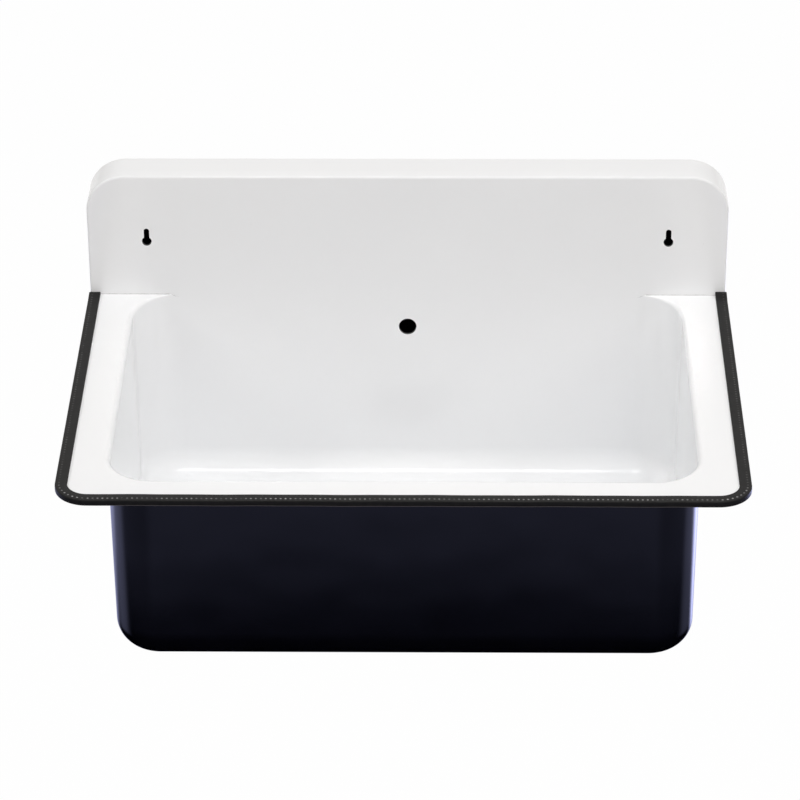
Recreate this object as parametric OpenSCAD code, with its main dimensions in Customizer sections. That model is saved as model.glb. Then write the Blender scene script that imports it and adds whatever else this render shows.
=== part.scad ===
// Wall-hung bucket sink in enamelled pressed steel, with an edge trim and a plug waste.
// X runs across the sink, +Y points at the wall and +Z up. The origin lies on the wall plane,
// in the middle of the splashback's top rear edge.

/* [Overall] */
// Width across the edge trim
overall_w = 510; // [470:1:560]
// Depth from the wall to the front of the edge trim
overall_d = 350; // [330:1:400]
// Thickness of the enamelled steel sheet
sheet = 2; // [1.5:0.1:2.5]

/* [Splashback] */
// Height of the splashback above the rim
splash_h = 105; // [90:1:160]
// Depth of the top and side returns, from the face to the wall
splash_d = 32; // [24:1:45]
// Radius of the splashback's two top corners
splash_corner_r = 31; // [20:1:45]
// How far each side of the splashback stands inside the outer edge of the trim
splash_inset = 0.6; // [0:0.1:2]
// Outer radius of the fold between the face and the returns
fold_r = 2.2; // [2.2:0.1:4]

/* [Keyholes] */
// Distance between the two keyholes
keyhole_spacing = 414; // [360:1:430]
// Height of each keyhole's round entry above the rim
keyhole_height = 47.6; // [35:0.1:60]
// Diameter of the round entry
keyhole_entry_d = 7.8; // [7:0.1:11]
// Width of the slot above the entry
keyhole_slot_w = 4.4; // [4.2:0.1:6]
// Distance from the entry's centre to the slot's top end
keyhole_rise = 11.3; // [8:0.1:16]

/* [Bowl] */
// Width of the bowl's mouth between the edges of its lip
mouth_w = 444.4; // [400:0.2:450]
// Width of the flat front rim with the trim on it
front_rim = 28.4; // [26:0.1:45]
// Depth of the bowl outside, below the rim's top
bowl_h = 162; // [130:1:200]
// Radius of the lip's upper surface
lip_r = 4.4; // [4:0.1:6]
// Plan radius of the lip's front corners
front_corner_r = 38; // [34:1:50]
// Plan radius of the lip's rear corners
rear_corner_r = 40; // [36:1:55]
// How far the rear lip corners would reach behind the splashback's face
rear_overrun = 3.9; // [1:0.1:3.9]
// Slope of the bowl's walls in degrees
wall_draft = 0.5; // [0:0.1:2]
// Inner radius between the walls and the floor
floor_r = 20; // [14:1:24]
// Depth below the rim at which the back wall bends to the slope of the others
back_bend_drop = 18; // [12:1:20]
// Diameter of the overflow hole
overflow_d = 14.2; // [10:0.1:16]
// Depth of the overflow hole's centre below the rim
overflow_drop = 29; // [28.5:0.5:50]

/* [Drain recess] */
// Distance from the splashback's face to the drain's centre
drain_inset = 112; // [100:1:150]
// Diameter of the hole for the waste
drain_hole_d = 60; // [58:1:62]
// Diameter of the recess at its flat bottom
recess_d = 80; // [76:1:90]
// Depth of the recess
recess_h = 5; // [3.5:0.1:8]

/* [Edge trim] */
// Width of the trim over the rim
trim_w = 9.2; // [8:0.1:12]
// Height of the trim
trim_h = 5; // [4.8:0.1:7]
// Thickness of the trim outside the rim's edge
trim_web = 1.7; // [1.6:0.1:2.5]
// Radius of the trim's outer edges
trim_edge_r = 1.1; // [0.6:0.1:1.4]
// Plan radius of the trim's two front corners
trim_corner_r = 25; // [18:1:32]
// Gap between the trim's ends and the splashback
trim_end_gap = 0.3; // [0.1:0.1:1]
// Least distance between the trim and the lip
trim_lip_gap = 0.3; // [0.2:0.1:1]
// Slack between the trim's slot and the sheet, above and below
trim_slack = 0.15; // [0.05:0.05:0.3]
// Thickness of the steel strip inside the trim
core_t = 0.5; // [0.4:0.05:0.6]
// Skin of soft plastic between the slot and the strip
core_skin = 0.3; // [0.25:0.05:0.35]
// Distance between the strip's cuts
core_pitch = 20; // [10:1:30]
// Width of each cut in the strip
core_cut = 4; // [1:0.5:6]

/* [Waste] */
// Diameter of the waste's flange
flange_d = 72; // [68:1:76]
// Thickness of the flange
flange_t = 2; // [1.5:0.1:3]
// Inner diameter of the upper cup
throat_d = 46; // [42:1:48]
// Wall of the upper cup
cup_wall = 2; // [1.5:0.1:2.5]
// Height of the upper cup below its flange
cup_h = 18.5; // [17:0.5:24]
// Height of the plug's seat at the top of the upper cup
seat_h = 5.5; // [4:0.5:7]
// How much wider the seat is at its top than at its foot, on each side
seat_flare = 1.6; // [0.8:0.1:1.8]
// Width of the bars across the cup's bottom
bar_w = 4; // [3:0.5:6]
// Thickness of each seal
seal_t = 1.8; // [1:0.1:3]
// Clearance between the two cups
cup_gap = 0.5; // [0.3:0.1:1]
// Wall of the lower cup
body_wall = 3; // [2:0.1:3.5]
// Outer diameter of the threaded tail
tail_d = 47.8; // [40:0.1:50]
// Inner diameter of the threaded tail
tail_bore_d = 41; // [34:0.5:43]
// Length of the threaded tail
tail_h = 26; // [18:1:36]
// Diameter of the centre screw
screw_d = 6; // [5:0.5:8]
// Diameter of the screw's head
screw_head_d = 11; // [10:0.5:13]
// Height of the screw's head
screw_head_h = 3; // [2:0.5:4]

/* [Plug] */
// How far the plug's head reaches over the flange, on each side
plug_overlap = 1.2; // [0.8:0.1:3]
// Height of the plug's top above the flange
plug_rise = 2.4; // [1.5:0.1:4]
// Depth of the plug below the flange's top
plug_depth = 9.5; // [9:0.5:10.5]
// Clearance between the plug and its seat
seat_gap = 0.3; // [0.1:0.1:0.5]
// Diameter of the pull ring to the middle of its wire
ring_d = 19; // [16:0.5:24]
// Diameter of the ring's wire
ring_wire = 2.2; // [1.6:0.1:2.6]
// Clearance between the wire and the eye's hole
ring_gap = 0.4; // [0.3:0.1:0.8]

/* [Hidden] */
$fn = 96;
over = 1;

white = [0.93, 0.93, 0.92];
navy = [0.03, 0.03, 0.07];
black = [0.08, 0.08, 0.08];
steel = [0.62, 0.63, 0.65];
chrome = [0.78, 0.79, 0.81];
brass = [0.72, 0.58, 0.3];
rubber = [0.13, 0.13, 0.13];

// Heights and depths that the pieces share
top_z = sheet / 2;
rim_z = top_z - splash_h;
face_y = -splash_d;
splash_w = overall_w - 2 * splash_inset;
floor_z = rim_z - bowl_h + sheet;
drain_y = face_y - drain_inset;
keyhole_z = rim_z + keyhole_height;
overflow_z = rim_z - overflow_drop;

// Plan of the lip and the rim, seen from above
mouth_x = mouth_w / 2;
mouth_front = -overall_d + front_rim;
front_axis_x = mouth_x - front_corner_r;
front_axis_y = mouth_front + front_corner_r;
rear_axis_x = mouth_x - rear_corner_r;
rear_axis_y = face_y + rear_overrun - rear_corner_r;
rim_edge_x = overall_w / 2 - trim_web;
rim_edge_y = -overall_d + trim_web;
rim_corner_r = trim_corner_r - trim_web;
trim_axis_x = overall_w / 2 - trim_corner_r;
trim_axis_y = -overall_d + trim_corner_r;
trim_end_y = face_y - trim_end_gap;
// The trim grips the flat of the rim, so a rim narrower than the trim's own width leaves it a shorter reach
trim_reach = min(trim_w, min(overall_w / 2 - mouth_x, front_rim) - trim_lip_gap);

// Heights of the waste's pieces
recess_z = floor_z - recess_h;
flange_z = recess_z + seal_t;
flange_top_z = flange_z + flange_t;
recess_slope = sheet * sqrt(2);
cup_r = throat_d / 2;
cup_end_z = flange_z - cup_h;
seat_r = cup_r + seat_flare;
boss_r = screw_head_d / 2 + 0.5;
boss_h = 5;
bar_h = 2.5;
body_top_z = recess_z - sheet - seal_t;
body_bore_r = cup_r + cup_wall + cup_gap;
body_r = body_bore_r + body_wall;
body_rim_r = drain_hole_d / 2 + 8;
body_rim_h = 3;
body_floor_z = cup_end_z - 3;
body_boss_h = 7;
tail_top_z = body_floor_z - body_wall;
screw_gap = 0.05;

// Heights of the plug's pieces
plug_top_z = flange_top_z + plug_rise;
plug_end_z = flange_top_z - plug_depth;
plug_r = seat_r + plug_overlap;
plug_round = 1.6;
stem_r = 2.2;
collar_r = 5;
collar_t = 1;
rivet_t = 1.2;
eye_hole_r = ring_wire / 2 + ring_gap;
eye_r = eye_hole_r + 2;
eye_t = 2.4;
eye_z = plug_top_z + collar_t + eye_r - 0.6;
ring_lie = asin((eye_z - plug_top_z - ring_wire / 2 - seat_gap) / ring_d);

// Height of the wall line at a depth below the lip, as a distance from the corner's axis
function wall_x(corner_r, grow, z) = corner_r - lip_r + grow + (z + lip_r) * tan(wall_draft);

// Slice of a disc that rounds the meeting of the wall and the floor
module floor_round(x, z, r) {
    translate([x, z]) intersection() {
        circle(r);
        polygon([[0, 0], [2 * r * cos(wall_draft), -2 * r * sin(wall_draft)], [2 * r, -2 * r], [0, -2 * r]]);
    }
}

// Half section of the bowl's space, or of its outside where grow is the sheet's thickness.
// The horizontal coordinate is the distance from the corner's axis, and the rim's top is at zero.
// The outline turns inwards behind the floor's slice, so that the two overlap.
module bowl_section(corner_r, grow) {
    flare_r = lip_r - grow;
    bottom = -bowl_h + sheet - grow;
    round_r = floor_r + grow;
    round_z = bottom + round_r;
    round_x = wall_x(corner_r, grow, round_z) - round_r / cos(wall_draft);
    head = over * (grow > 0 ? 0 : 1);
    polygon([
        [0, head],
        [corner_r - flare_r, head],
        [corner_r - flare_r, -lip_r],
        [round_x + round_r * cos(wall_draft), round_z - round_r * sin(wall_draft)],
        [round_x + round_r / 2, round_z - round_r / 2],
        [round_x, bottom],
        [0, bottom]
    ]);
    floor_round(round_x, round_z, round_r);
    difference() {
        translate([corner_r - flare_r - over, -lip_r]) square([flare_r + over, lip_r + head]);
        translate([corner_r, -lip_r]) circle(flare_r);
    }
}

// Half section of the back wall, which starts flush with the splashback's face and then bends
module back_section(grow) {
    bottom = -bowl_h + sheet - grow;
    round_r = floor_r + grow;
    round_z = bottom + round_r;
    round_x = wall_x(rear_corner_r, grow, round_z) - round_r / cos(wall_draft);
    face_x = rear_corner_r - rear_overrun;
    head = grow > 0 ? -sheet : over;
    polygon([
        [0, head],
        [face_x + grow, head],
        [face_x + grow, -sheet],
        [wall_x(rear_corner_r, grow, -back_bend_drop), -back_bend_drop],
        [round_x + round_r * cos(wall_draft), round_z - round_r * sin(wall_draft)],
        [round_x + round_r / 2, round_z - round_r / 2],
        [round_x, bottom],
        [0, bottom]
    ]);
    floor_round(round_x, round_z, round_r);
}

// Stands a section up and runs it along X for a length, facing +Y
module run_x(length) {
    rotate([90, 0, 90]) linear_extrude(length, center = true) children();
}

// Stands a section up and runs it along Y between two ends, facing +X
module run_y(from, to) {
    translate([0, to, 0]) rotate([90, 0, 0]) linear_extrude(to - from) children();
}

// Turns a section a quarter round an upright axis, from one heading to the next
module quarter(x, y, heading) {
    translate([x, y, 0]) rotate([0, 0, heading]) rotate_extrude(angle = 90) children();
}

// The bowl's space, or its outside where grow is the sheet's thickness, with the rim's top at zero
module bowl_form(grow) {
    bottom = -bowl_h + sheet - grow;
    head = over * (grow > 0 ? 0 : 1);
    translate([-front_axis_x - over, front_axis_y - over, bottom])
        cube([2 * (front_axis_x + over), rear_axis_y - front_axis_y + 2 * over, head - bottom]);
    for (side = [0, 1]) mirror([side, 0, 0]) {
        translate([front_axis_x, 0, 0])
            run_y(front_axis_y, rear_axis_y) bowl_section(front_corner_r, grow);
        quarter(front_axis_x, front_axis_y, -90) bowl_section(front_corner_r, grow);
        quarter(rear_axis_x, rear_axis_y, 0) bowl_section(rear_corner_r, grow);
    }
    translate([0, front_axis_y, 0])
        mirror([0, 1, 0]) run_x(2 * front_axis_x) bowl_section(front_corner_r, grow);
    translate([0, rear_axis_y, 0]) run_x(2 * rear_axis_x) back_section(grow);
}

// Flat rim on three sides, with rounded front corners and a clean cut for the lip
module rim_plate() {
    translate([0, 0, -sheet]) linear_extrude(sheet) difference() {
        union() {
            translate([-rim_edge_x, rim_edge_y + rim_corner_r])
                square([2 * rim_edge_x, face_y - rim_edge_y - rim_corner_r]);
            translate([-trim_axis_x, rim_edge_y]) square([2 * trim_axis_x, rim_corner_r + over]);
            for (x = [-trim_axis_x, trim_axis_x])
                translate([x, rim_edge_y + rim_corner_r]) circle(rim_corner_r);
        }
        translate([-mouth_x, front_axis_y]) square([2 * mouth_x, rear_axis_y - front_axis_y]);
        translate([-front_axis_x, mouth_front]) square([2 * front_axis_x, front_corner_r + over]);
        translate([-rear_axis_x, rear_axis_y - over]) square([2 * rear_axis_x, rear_corner_r + 2 * over]);
        for (x = [-1, 1]) {
            translate([x * front_axis_x, front_axis_y]) circle(front_corner_r);
            translate([x * rear_axis_x, rear_axis_y]) circle(rear_corner_r);
        }
    }
}

// Space in front of the splashback's face, which the lip's rear corners stop at
module before_face() {
    translate([-overall_w, face_y - overall_d, -bowl_h - over])
        cube([2 * overall_w, overall_d, bowl_h + 2 * over]);
}

// Space below the rim's sheet, where the bowl's outside may pass behind the splashback's face
module below_rim() {
    translate([-overall_w, -2 * overall_d, -bowl_h - over])
        cube([2 * overall_w, 2 * overall_d, bowl_h + over - sheet]);
}

module bowl_outside() {
    intersection() {
        bowl_form(sheet);
        union() {
            before_face();
            below_rim();
        }
    }
}

// Pressed recess for the waste, a ring with a sloping side
module recess_ring() {
    bottom_r = recess_d / 2;
    top_r = bottom_r + recess_h;
    rotate_extrude() polygon([
        [drain_hole_d / 2, -recess_h],
        [bottom_r, -recess_h],
        [top_r, 0],
        [top_r + sheet, 0],
        [top_r + sheet, -sheet],
        [top_r + recess_slope - sheet, -sheet],
        [bottom_r + recess_slope - sheet, -recess_h - sheet],
        [drain_hole_d / 2, -recess_h - sheet]
    ]);
}

module basin() {
    translate([0, 0, rim_z]) {
        difference() {
            union() {
                color(white) rim_plate();
                color(navy) bowl_outside();
            }
            color(white) bowl_form(0);
            color(white) translate([0, face_y, -overflow_drop])
                rotate([90, 0, 0]) cylinder(d = overflow_d, h = 10 * sheet, center = true);
            translate([0, drain_y, -bowl_h - over])
                cylinder(r = recess_d / 2 + recess_h + sheet, h = sheet + 2 * over);
        }
    }
    color(white) translate([0, drain_y, floor_z]) recess_ring();
}

// Section of the splashback across its folded edge, from the corner's axis outwards.
// The wall is at zero, and grow and past make the hollow, which runs out at the back.
module splash_section(grow, past) {
    round_r = fold_r - grow;
    translate([0, -past]) square([splash_corner_r - grow, splash_d - fold_r + past]);
    translate([0, -past]) square([splash_corner_r - fold_r, splash_d - grow + past]);
    intersection() {
        translate([splash_corner_r - fold_r, splash_d - fold_r]) circle(round_r);
        translate([splash_corner_r - fold_r, splash_d - fold_r]) square(2 * fold_r);
    }
}

// The splashback's outer form, lying on its back, or its hollow, which is open at the back and foot
module splash_form(grow, past) {
    axis_x = splash_w / 2 - splash_corner_r;
    axis_y = top_z - splash_corner_r;
    foot = rim_z - sheet - past;
    translate([-axis_x, foot, -past])
        cube([2 * axis_x, axis_y - foot, splash_d - grow + past]);
    for (side = [0, 1]) mirror([side, 0, 0]) {
        translate([axis_x, 0, 0]) run_y(foot, axis_y) splash_section(grow, past);
        quarter(axis_x, axis_y, 0) splash_section(grow, past);
    }
    translate([0, axis_y, 0]) run_x(2 * axis_x) splash_section(grow, past);
}

// Round entry with a slot above it
module keyhole() {
    slot_r = keyhole_slot_w / 2;
    circle(d = keyhole_entry_d);
    translate([-slot_r, 0]) square([keyhole_slot_w, keyhole_rise - slot_r]);
    translate([0, keyhole_rise - slot_r]) circle(slot_r);
}

module splashback() {
    rotate([90, 0, 0]) difference() {
        color(white) splash_form(0, 0);
        color(navy) splash_form(sheet, over);
        for (x = [-keyhole_spacing / 2, keyhole_spacing / 2])
            color(navy) translate([x, keyhole_z, splash_d - sheet - over])
                linear_extrude(sheet + 2 * over) keyhole();
    }
}

// Section of the trim, from the corner's axis outwards, with the sheet's middle at zero
module trim_outline() {
    half = trim_h / 2;
    inner = trim_corner_r - trim_reach;
    translate([inner, -half]) square([trim_reach - trim_edge_r, trim_h]);
    translate([trim_corner_r - 2 * trim_edge_r, -half + trim_edge_r])
        square([2 * trim_edge_r, trim_h - 2 * trim_edge_r]);
    for (y = [-half + trim_edge_r, half - trim_edge_r])
        translate([trim_corner_r - trim_edge_r, y]) circle(trim_edge_r);
}

// Channel section that wraps the sheet's edge, from an inner offset to an outer one
module wrap(near, far, inner) {
    edge = trim_corner_r - trim_web;
    difference() {
        translate([inner, -far]) square([edge + far - sheet / 2 - inner, 2 * far]);
        translate([inner - over, -near])
            square([edge + near - sheet / 2 - inner + over, 2 * near]);
    }
}

slot_half = sheet / 2 + trim_slack;
core_near = slot_half + core_skin;
core_far = core_near + core_t;
core_inner = trim_corner_r - trim_reach + 1;

module trim_section() {
    edge = trim_corner_r - trim_web;
    difference() {
        trim_outline();
        translate([0, -slot_half]) square([edge, 2 * slot_half]);
        wrap(core_near, core_far, core_inner);
    }
}

module core_section() {
    wrap(core_near, core_far, core_inner);
}

// Carries a section round the rim, from one end at the splashback to the other
module round_rim() {
    translate([0, 0, rim_z - sheet / 2]) {
        for (side = [0, 1]) mirror([side, 0, 0]) {
            translate([trim_axis_x, 0, 0]) run_y(trim_axis_y, trim_end_y) children();
            quarter(trim_axis_x, trim_axis_y, -90) children();
        }
        translate([0, trim_axis_y, 0]) mirror([0, 1, 0]) run_x(2 * trim_axis_x) children();
    }
}

module edge_trim() {
    color(black) round_rim() trim_section();
}

// The strip's cuts stop short of its outer web, which holds its clips together
module trim_core() {
    side_run = trim_end_y - trim_axis_y;
    side_cuts = floor(side_run / core_pitch);
    front_cuts = floor(2 * trim_axis_x / core_pitch);
    reach = trim_reach - trim_web - 1;
    color(steel) difference() {
        round_rim() core_section();
        translate([0, 0, rim_z - sheet / 2]) {
            for (side = [0, 1]) mirror([side, 0, 0]) for (i = [1 : side_cuts])
                translate([trim_axis_x + core_inner - over, trim_end_y - i * core_pitch, -trim_h])
                    cube([reach - 1 + over, core_cut, 2 * trim_h]);
            for (i = [0 : front_cuts - 1])
                translate([(i - (front_cuts - 1) / 2) * core_pitch - core_cut / 2,
                    trim_axis_y - core_inner - reach + 1, -trim_h])
                    cube([core_cut, reach - 1 + over, 2 * trim_h]);
        }
    }
}

// Places a waste piece's section on the drain's axis
module on_drain() {
    translate([0, drain_y, 0]) children();
}

// Cross bars with a boss in the middle
module spider(r, z, bars, height, hub_r, hub_h) {
    difference() {
        union() {
            translate([0, 0, z]) intersection() {
                cylinder(r = r, h = height);
                for (i = [0 : bars - 1]) rotate([0, 0, i * 180 / bars])
                    translate([-r - over, -bar_w / 2, 0]) cube([2 * (r + over), bar_w, height]);
            }
            translate([0, 0, z]) cylinder(r = hub_r, h = hub_h);
        }
        children();
    }
}

module waste_flange() {
    outer = cup_r + cup_wall;
    round_x = flange_d / 2 - flange_t / 2;
    color(chrome) on_drain() {
        rotate_extrude() {
            polygon([
                [cup_r, cup_end_z],
                [outer, cup_end_z],
                [outer, flange_z],
                [round_x, flange_z],
                [round_x, flange_top_z],
                [seat_r, flange_top_z],
                [cup_r, flange_top_z - seat_h]
            ]);
            translate([round_x, flange_z + flange_t / 2]) circle(flange_t / 2);
        }
        spider(cup_r + cup_wall / 2, cup_end_z, 2, bar_h, boss_r, boss_h)
            cylinder(r = screw_d / 2 + 0.3, h = 1000, center = true);
    }
}

module flange_seal() {
    color(rubber) on_drain() translate([0, 0, recess_z]) difference() {
        cylinder(r = flange_d / 2, h = seal_t);
        translate([0, 0, -over]) cylinder(r = drain_hole_d / 2 - 3, h = seal_t + 2 * over);
    }
}

module body_seal() {
    color(rubber) on_drain() translate([0, 0, body_top_z]) difference() {
        cylinder(r = body_rim_r, h = seal_t);
        translate([0, 0, -over]) cylinder(r = body_bore_r + 0.5, h = seal_t + 2 * over);
    }
}

module waste_body() {
    tail_r = tail_d / 2;
    bore = tail_bore_d / 2;
    color(chrome) on_drain() {
        rotate_extrude() polygon([
            [bore, tail_top_z - tail_h],
            [tail_r, tail_top_z - tail_h],
            [tail_r, tail_top_z],
            [body_r, body_floor_z],
            [body_r, body_top_z - body_rim_h],
            [body_rim_r, body_top_z - body_rim_h],
            [body_rim_r, body_top_z],
            [body_bore_r, body_top_z],
            [body_bore_r, body_floor_z],
            [bore, tail_top_z]
        ]);
        spider(bore + 1, tail_top_z - bar_h, 1, bar_h, boss_r, body_boss_h)
            cylinder(r = screw_d / 2 + screw_gap, h = 1000, center = true);
    }
}

module waste_screw() {
    head_z = cup_end_z + boss_h;
    end_z = tail_top_z - bar_h - 1;
    color(brass) on_drain() {
        translate([0, 0, end_z]) cylinder(d = screw_d, h = head_z - end_z);
        difference() {
            translate([0, 0, head_z]) cylinder(d = screw_head_d, h = screw_head_h);
            translate([-screw_head_d, -0.75, head_z + screw_head_h - 1.5])
                cube([2 * screw_head_d, 1.5, 3]);
        }
    }
}

// The plug's cone lies one clearance inside the flange's seat, and its head one above the flange
module plug() {
    slope = seat_flare / seat_h;
    inset = seat_gap * sqrt(1 + slope * slope);
    foot_r = cup_r - inset;
    head_z = flange_top_z + seat_gap;
    neck_r = seat_r - inset + seat_gap * slope;
    color(rubber) on_drain() difference() {
        rotate_extrude() {
            polygon([
                [0, plug_end_z],
                [foot_r, plug_end_z],
                [foot_r, flange_top_z - seat_h],
                [neck_r, head_z],
                [plug_r, head_z],
                [plug_r, plug_top_z - plug_round],
                [plug_r - plug_round, plug_top_z - plug_round],
                [plug_r - plug_round, plug_top_z],
                [0, plug_top_z]
            ]);
            intersection() {
                translate([plug_r - plug_round, plug_top_z - plug_round]) circle(plug_round);
                translate([plug_r - plug_round, plug_top_z - plug_round]) square(2 * plug_round);
            }
        }
        translate([0, 0, plug_end_z - over]) cylinder(r = stem_r, h = plug_depth + plug_rise + 2 * over);
    }
}

module plug_eye() {
    color(chrome) on_drain() {
        translate([0, 0, plug_end_z - rivet_t]) cylinder(r = collar_r - 0.5, h = rivet_t);
        translate([0, 0, plug_end_z]) cylinder(r = stem_r, h = plug_top_z - plug_end_z);
        translate([0, 0, plug_top_z]) cylinder(r = collar_r, h = collar_t);
        difference() {
            union() {
                translate([0, 0, eye_z]) rotate([0, 90, 0]) cylinder(r = eye_r, h = eye_t, center = true);
                translate([-eye_t / 2, -eye_r, plug_top_z + collar_t / 2])
                    cube([eye_t, 2 * eye_r, eye_z - plug_top_z - collar_t / 2]);
            }
            translate([0, 0, eye_z]) rotate([0, 90, 0]) cylinder(r = eye_hole_r, h = 2 * eye_t, center = true);
        }
    }
}

// The ring lies on the plug, leaning from the eye away from the wall
module plug_ring() {
    color(chrome) on_drain() translate([0, 0, eye_z]) rotate([ring_lie, 0, 0])
        translate([0, -ring_d / 2, 0]) rotate_extrude()
            translate([ring_d / 2, 0]) circle(d = ring_wire);
}

basin();
splashback();
edge_trim();
trim_core();
waste_flange();
flange_seal();
body_seal();
waste_body();
waste_screw();
plug();
plug_eye();
plug_ring();
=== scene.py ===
import bmesh
import bpy
import numpy as np
from bpy.props import FloatProperty, FloatVectorProperty, IntProperty, PointerProperty
from bpy.types import Operator, Panel, PropertyGroup
from mathutils import Matrix
from mathutils.geometry import delaunay_2d_cdt


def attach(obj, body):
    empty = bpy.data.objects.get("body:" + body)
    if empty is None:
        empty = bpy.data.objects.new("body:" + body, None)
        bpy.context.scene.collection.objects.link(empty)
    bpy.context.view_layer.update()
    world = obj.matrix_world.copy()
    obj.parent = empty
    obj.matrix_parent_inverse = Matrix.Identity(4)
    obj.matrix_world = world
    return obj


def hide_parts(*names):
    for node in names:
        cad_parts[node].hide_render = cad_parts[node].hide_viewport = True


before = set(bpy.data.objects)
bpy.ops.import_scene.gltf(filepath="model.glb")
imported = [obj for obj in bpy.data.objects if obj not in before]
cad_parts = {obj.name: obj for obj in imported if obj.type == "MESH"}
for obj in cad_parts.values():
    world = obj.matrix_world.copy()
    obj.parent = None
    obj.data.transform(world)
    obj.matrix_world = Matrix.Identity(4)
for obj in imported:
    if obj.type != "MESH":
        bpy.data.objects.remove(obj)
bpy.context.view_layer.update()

bl_info = {
    "name": "Bucket Sink",
    "version": (1, 0, 0),
    "blender": (4, 5, 0),
    "location": "View3D > Sidebar > Sink",
    "description": "Dresses a wall-hung enamelled bucket sink with its trim and plug waste",
    "category": "Object",
}


def length(name, default, description):
    """A length property in metres."""
    return FloatProperty(name=name, description=description, default=default, unit="LENGTH", precision=4)


def colour(name, default, description):
    """A colour property."""
    return FloatVectorProperty(name=name, description=description, default=default, subtype="COLOR", min=0, max=1)


def number(name, default, description, **limits):
    """A plain number property."""
    return FloatProperty(name=name, description=description, default=default, **limits)


class SinkSheet(PropertyGroup):
    """Sizes of the two pressings."""

    width: length("Width", 0.51, "Width across the edge trim")
    depth: length("Depth", 0.35, "Depth from the wall to the front of the trim")
    sheet: length("Sheet", 0.002, "Thickness of the enamelled sheet")
    splash_height: length("Splash Height", 0.105, "Height of the splashback above the rim")
    splash_depth: length("Splash Depth", 0.032, "Depth of the splashback's returns")
    splash_inset: length("Splash Inset", 0.0012, "How far the splashback's sides stand inside the trim's outer edge")
    splash_corner: length("Splash Corner", 0.031, "Radius of the splashback's top corners")
    fold: length("Fold", 0.0018, "Outer radius of the fold round the splashback")
    keyhole_spacing: length("Keyhole Spacing", 0.414, "Distance between the keyholes")
    keyhole_height: length("Keyhole Height", 0.0476, "Height of each keyhole's entry above the rim")
    keyhole_rise: length("Keyhole Rise", 0.0113, "Height of the slot's end above the entry")
    entry_width: length("Entry Width", 0.0078, "Diameter of the keyhole's entry")
    slot_width: length("Slot Width", 0.0044, "Width of the keyhole's slot")
    mouth: length("Mouth", 0.4444, "Width of the bowl's mouth")
    front_rim: length("Front Rim", 0.0284, "Width of the front rim with its trim")
    bowl_height: length("Bowl Height", 0.162, "Height of the bowl outside")
    lip: length("Lip", 0.0044, "Radius of the lip")
    rear_lip: number("Rear Lip", 0.22, "Share of the lip's radius that is left at the back wall", min=0.1, max=1)
    front_corner: length("Front Corner", 0.038, "Plan radius of the lip's front corners")
    rear_corner: length("Rear Corner", 0.04, "Plan radius of the lip's rear corners")
    rear_overrun: length("Rear Overrun", 0.0039, "How far the rear lip corners reach behind the face")
    draft: number("Draft", 0.0087, "Slope of the walls", subtype="ANGLE")
    floor_round: length("Floor Radius", 0.02, "Radius between the walls and the floor")
    overflow: length("Overflow", 0.0142, "Diameter of the overflow hole")
    overflow_drop: length("Overflow Drop", 0.029, "Depth of the overflow hole below the rim")
    drain_inset: length("Drain Inset", 0.112, "Distance from the splashback's face to the drain")
    drain_hole: length("Drain Hole", 0.06, "Diameter of the hole for the waste")
    recess: length("Recess", 0.08, "Diameter of the drain recess at its flat bottom")
    recess_depth: length("Recess Depth", 0.005, "Depth of the drain recess")


class SinkTrim(PropertyGroup):
    """Sizes of the edge trim."""

    width: length("Width", 0.0092, "Width of the trim over the rim")
    height: length("Height", 0.005, "Height of the trim")
    web: length("Web", 0.0017, "Thickness of the trim outside the rim's edge")
    edge: length("Edge Radius", 0.0011, "Radius of the trim's outer edges")
    corner: length("Corner Radius", 0.025, "Plan radius of the trim's front corners")
    slack: length("Slack", 0.00015, "Slack between the slot and the sheet")
    gap: length("End Gap", 0.0003, "Gap between the trim's ends and the splashback")
    clip_pitch: length("Clip Pitch", 0.0036, "Distance between the marks that the clips leave")
    lift: length("Lifted End", 0.0018, "How far the right end's upper leg stands up")


class SinkWaste(PropertyGroup):
    """Sizes of the waste and its plug."""

    flange: length("Flange", 0.072, "Diameter of the waste's flange")
    flange_sheet: length("Flange Sheet", 0.002, "Thickness of the flange")
    throat: length("Throat", 0.046, "Inner diameter of the upper cup")
    cup_wall: length("Cup Wall", 0.002, "Wall of the upper cup")
    cup_height: length("Cup Height", 0.0185, "Height of the upper cup below its flange")
    seat_height: length("Seat Height", 0.0055, "Height of the plug's seat")
    seat_flare: length("Seat Flare", 0.0016, "How much wider the seat is at its top")
    bar: length("Bar", 0.004, "Width of the cross bars")
    seal: length("Seal", 0.0018, "Thickness of each seal")
    body_wall: length("Body Wall", 0.003, "Wall of the lower cup")
    tail: length("Tail", 0.0478, "Outer diameter of the threaded tail")
    tail_bore: length("Tail Bore", 0.041, "Inner diameter of the threaded tail")
    tail_height: length("Tail Height", 0.026, "Length of the threaded tail")
    pitch: length("Pitch", 0.002309, "Pitch of the tail's thread")
    plug_rise: length("Plug Rise", 0.0024, "Height of the plug's top above the flange")
    plug_depth: length("Plug Depth", 0.0095, "Depth of the plug below the flange")
    ring: length("Ring", 0.019, "Diameter of the pull ring")
    wire: length("Wire", 0.0022, "Diameter of the pull ring's wire")
    segments: IntProperty(name="Segments", description="Steps round each turned piece", default=96, min=24)


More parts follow.
